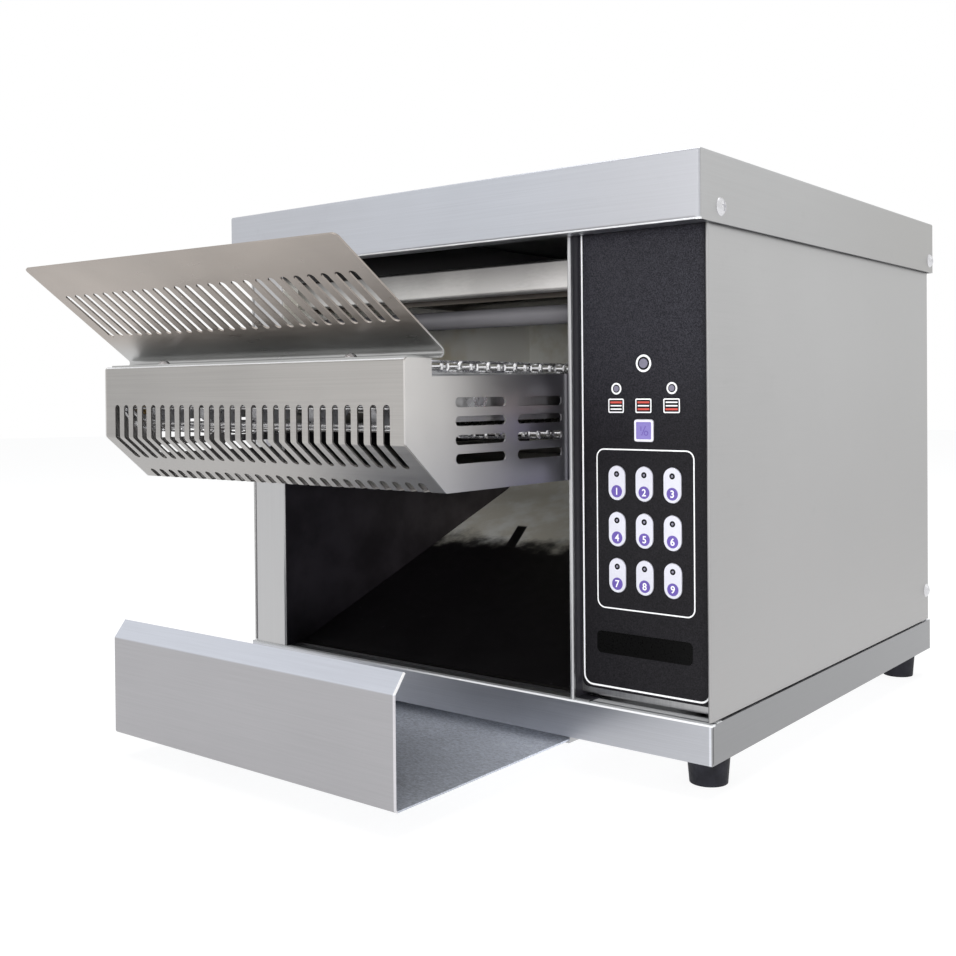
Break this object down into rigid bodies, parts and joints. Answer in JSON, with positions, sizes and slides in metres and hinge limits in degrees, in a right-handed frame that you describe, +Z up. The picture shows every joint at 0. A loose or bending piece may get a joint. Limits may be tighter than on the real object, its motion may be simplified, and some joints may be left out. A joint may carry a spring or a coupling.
{
  "type": "conveyor toaster",
  "caption": "Countertop conveyor toaster: slotted bent feed box and chute, wire belt, quartz heaters, return slide, sliding toast tray and push-button panel.",
  "frame": {"origin": "on the table, under the middle of the overall bounding box (chute, tray and cord gland included)", "axes": "+X to the right seen from the front, +Y from the feed chute to the rear panel, +Z up"},
  "size_m": [0.3748, 0.5576, 0.3434],
  "materials": {
    "body_steel": "satin brushed",
    "inner_steel": "satin brushed",
    "guide_steel": "satin brushed",
    "reflector_steel": "bright",
    "belt_wire": "bright drawn wire",
    "machined_steel": "turned",
    "screw_steel": "polished",
    "bush_bronze": "turned",
    "quartz": "frosted quartz",
    "ceramic": "unglazed ceramic",
    "foot_rubber": "matte",
    "overlay_black": "fine-grained satin film",
    "key_white": "satin",
    "mode_key_black": "satin",
    "power_key_white": "satin",
    "lamp_clear": "clear lens",
    "board_green": "solder mask",
    "motor_grey": "semi-matt",
    "terminal_white": "moulded",
    "gland_black": "moulded"
  },
  "bodies": {
    "housing": {"base_pan": "body_steel", "belt_support_bars": "machined_steel", "bread_flap": "guide_steel", "control_overlay": "overlay_black", "control_plate": "inner_steel", "conveyor_pan": "inner_steel", "conveyor_rail_left": "machined_steel", "conveyor_rail_right": "machined_steel", "cord_gland": "gland_black", "cover_screws": "screw_steel", "divider_wall": "inner_steel", "feed_front_cover": "guide_steel", "feed_side_left": "guide_steel", "feed_side_right": "guide_steel", "flap_screws": "screw_steel", "foot_nuts": "screw_steel", "foot_screws": "screw_steel", "gear_motor": "motor_grey", "heater_caps": "ceramic", "keypad_board": "board_green", "lamp_lenses": "lamp_clear", "left_inner_panel": "inner_steel", "left_side_panel": "body_steel", "lower_heaters": "quartz", "lower_reflector": "reflector_steel", "power_board": "board_green", "rail_spacers": "machined_steel", "rear_panel": "body_steel", "rear_panel_screws": "screw_steel", "right_side_panel": "body_steel", "roller_bushes": "bush_bronze", "rubber_feet": "foot_rubber", "terminal_block": "terminal_white", "tie_nuts": "machined_steel", "tie_rods": "machined_steel", "toast_slide": "inner_steel", "top_cover": "body_steel", "tray_runner_left": "inner_steel", "tray_runner_right": "inner_steel", "upper_front_panel": "inner_steel", "upper_heaters": "quartz", "upper_reflector": "reflector_steel", "wire_belt": "belt_wire"},
    "tray": {"toast_tray": "guide_steel"},
    "idler": {"front_roller": "machined_steel"},
    "driven_shaft": {"drive_shaft": "machined_steel"},
    "key_1_button": {"key_1": "key_white"},
    "key_2_button": {"key_2": "key_white"},
    "key_3_button": {"key_3": "key_white"},
    "key_4_button": {"key_4": "key_white"},
    "key_5_button": {"key_5": "key_white"},
    "key_6_button": {"key_6": "key_white"},
    "key_7_button": {"key_7": "key_white"},
    "key_8_button": {"key_8": "key_white"},
    "key_9_button": {"key_9": "key_white"},
    "key_mode_top_button": {"key_mode_top": "mode_key_black"},
    "key_mode_both_button": {"key_mode_both": "mode_key_black"},
    "key_mode_bottom_button": {"key_mode_bottom": "mode_key_black"},
    "key_power_button": {"key_power": "power_key_white"}
  },
  "joints": [
    {"name": "tray_slide", "type": "slide", "parent": "housing", "child": "tray", "axis": [0, -1, 0], "range_m": [-0.12, 0.06]},
    {"name": "drive_spin", "type": "hinge", "parent": "housing", "child": "driven_shaft", "pos_m": [0, 0.13984, 0.2155], "axis": [-1, 0, 0], "continuous": true},
    {"name": "idler_spin", "type": "hinge", "parent": "housing", "child": "idler", "pos_m": [0, -0.20516, 0.2155], "axis": [-1, 0, 0], "continuous": true},
    {"name": "key_1_press", "type": "slide", "parent": "housing", "child": "key_1_button", "axis": [0, 1, 0], "range_m": [0, 0.0004], "stiffness_N_per_m": 200},
    {"name": "key_2_press", "type": "slide", "parent": "housing", "child": "key_2_button", "axis": [0, 1, 0], "range_m": [0, 0.0004], "stiffness_N_per_m": 200},
    {"name": "key_3_press", "type": "slide", "parent": "housing", "child": "key_3_button", "axis": [0, 1, 0], "range_m": [0, 0.0004], "stiffness_N_per_m": 200},
    {"name": "key_4_press", "type": "slide", "parent": "housing", "child": "key_4_button", "axis": [0, 1, 0], "range_m": [0, 0.0004], "stiffness_N_per_m": 200},
    {"name": "key_5_press", "type": "slide", "parent": "housing", "child": "key_5_button", "axis": [0, 1, 0], "range_m": [0, 0.0004], "stiffness_N_per_m": 200},
    {"name": "key_6_press", "type": "slide", "parent": "housing", "child": "key_6_button", "axis": [0, 1, 0], "range_m": [0, 0.0004], "stiffness_N_per_m": 200},
    {"name": "key_7_press", "type": "slide", "parent": "housing", "child": "key_7_button", "axis": [0, 1, 0], "range_m": [0, 0.0004], "stiffness_N_per_m": 200},
    {"name": "key_8_press", "type": "slide", "parent": "housing", "child": "key_8_button", "axis": [0, 1, 0], "range_m": [0, 0.0004], "stiffness_N_per_m": 200},
    {"name": "key_9_press", "type": "slide", "parent": "housing", "child": "key_9_button", "axis": [0, 1, 0], "range_m": [0, 0.0004], "stiffness_N_per_m": 200},
    {"name": "key_mode_top_press", "type": "slide", "parent": "housing", "child": "key_mode_top_button", "axis": [0, 1, 0], "range_m": [0, 0.0004], "stiffness_N_per_m": 200},
    {"name": "key_mode_both_press", "type": "slide", "parent": "housing", "child": "key_mode_both_button", "axis": [0, 1, 0], "range_m": [0, 0.0004], "stiffness_N_per_m": 200},
    {"name": "key_mode_bottom_press", "type": "slide", "parent": "housing", "child": "key_mode_bottom_button", "axis": [0, 1, 0], "range_m": [0, 0.0004], "stiffness_N_per_m": 200},
    {"name": "key_power_press", "type": "slide", "parent": "housing", "child": "key_power_button", "axis": [0, 1, 0], "range_m": [0, 0.0004], "stiffness_N_per_m": 200}
  ],
  "couplings": [
    {"joint": "idler_spin", "follows": "drive_spin", "ratio": 1}
  ]
}
